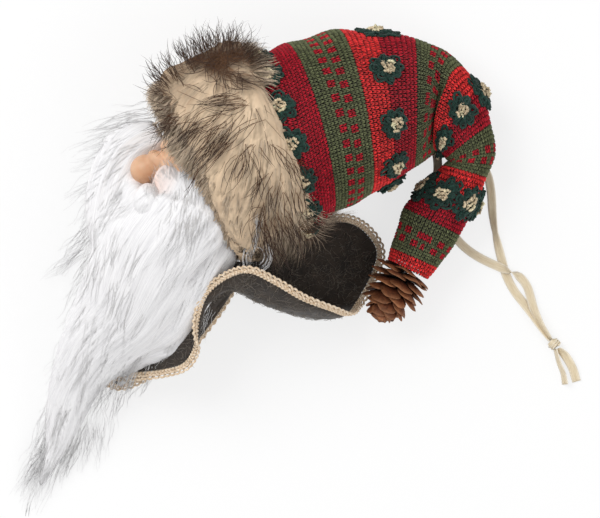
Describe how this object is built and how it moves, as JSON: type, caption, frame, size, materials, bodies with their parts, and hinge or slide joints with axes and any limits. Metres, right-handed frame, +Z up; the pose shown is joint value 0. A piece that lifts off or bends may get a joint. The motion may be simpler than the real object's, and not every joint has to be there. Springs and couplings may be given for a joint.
{
  "type": "hanging santa ornament",
  "caption": "Hanging Santa head ornament with a moulded face, long beard, fur brim, wired knitted hat ending in a pine cone, felt collar and ribbon loop.",
  "frame": {"origin": "on the table, under the middle of everything but the ribbon", "axes": "+Z up from the table, square to the lying profile; +Y towards the top of the hat; +X from the face towards the back of the head"},
  "size_m": [0.2217, 0.1872, 0.0806],
  "materials": {
    "head_foam": "white foam, matt",
    "moulded_face": "painted moulded face with a soft satin sheen",
    "glass_bead": "small glossy bead",
    "card_disc": "plain card disc, matt",
    "white_pile": "long soft white pile",
    "beige_fur": "long beige fur pile with dark brown streaks and tips",
    "knit_crimson": "stockinette knit, crimson with olive stripes and snowflake rows",
    "knit_red": "stockinette knit, bright red with crimson and olive stripes",
    "knit_olive": "stockinette knit, olive with crimson stripes and a narrow red cuff",
    "filling": "polyester fibre filling",
    "wire": "bare bending wire",
    "pinecone_scales": "dry brown pine cone",
    "charcoal_felt": "thick felt, matt, with stray fibres",
    "crochet_lace": "tan cotton crochet edging",
    "satin_ribbon": "narrow cream satin ribbon"
  },
  "bodies": {
    "ornament": {"head_core": "head_foam", "face_mask": "moulded_face", "eye_left": "glass_bead", "eye_right": "glass_bead", "neck_disc": "card_disc", "moustache": "white_pile", "beard": "white_pile", "fur_brim": "beige_fur", "hat_body_knit": "knit_crimson", "hat_body_stuffing": "filling", "hat_wire_body": "wire", "collar_felt": "charcoal_felt", "collar_lace": "crochet_lace", "ribbon_tack": "satin_ribbon", "ribbon_strand_near": "satin_ribbon", "ribbon_strand_far": "satin_ribbon", "ribbon_knot": "satin_ribbon", "ribbon_end_near": "satin_ribbon", "ribbon_end_far": "satin_ribbon"},
    "hat_middle": {"hat_middle_knit": "knit_red", "hat_middle_stuffing": "filling", "hat_wire_middle": "wire"},
    "hat_tip": {"hat_tip_knit": "knit_olive", "hat_tip_stuffing": "filling", "hat_wire_tip": "wire", "pinecone": "pinecone_scales"}
  },
  "joints": [
    {"name": "hat_first_bend", "type": "hinge", "parent": "ornament", "child": "hat_middle", "pos_m": [0.07295, 0.0683, 0.019], "axis": [0, 0, 1], "range_deg": [0, 60]},
    {"name": "hat_second_bend", "type": "hinge", "parent": "hat_middle", "child": "hat_tip", "pos_m": [0.08255, 0.0395, 0.0144], "axis": [0, 0, 1], "range_deg": [0, 45]}
  ]
}
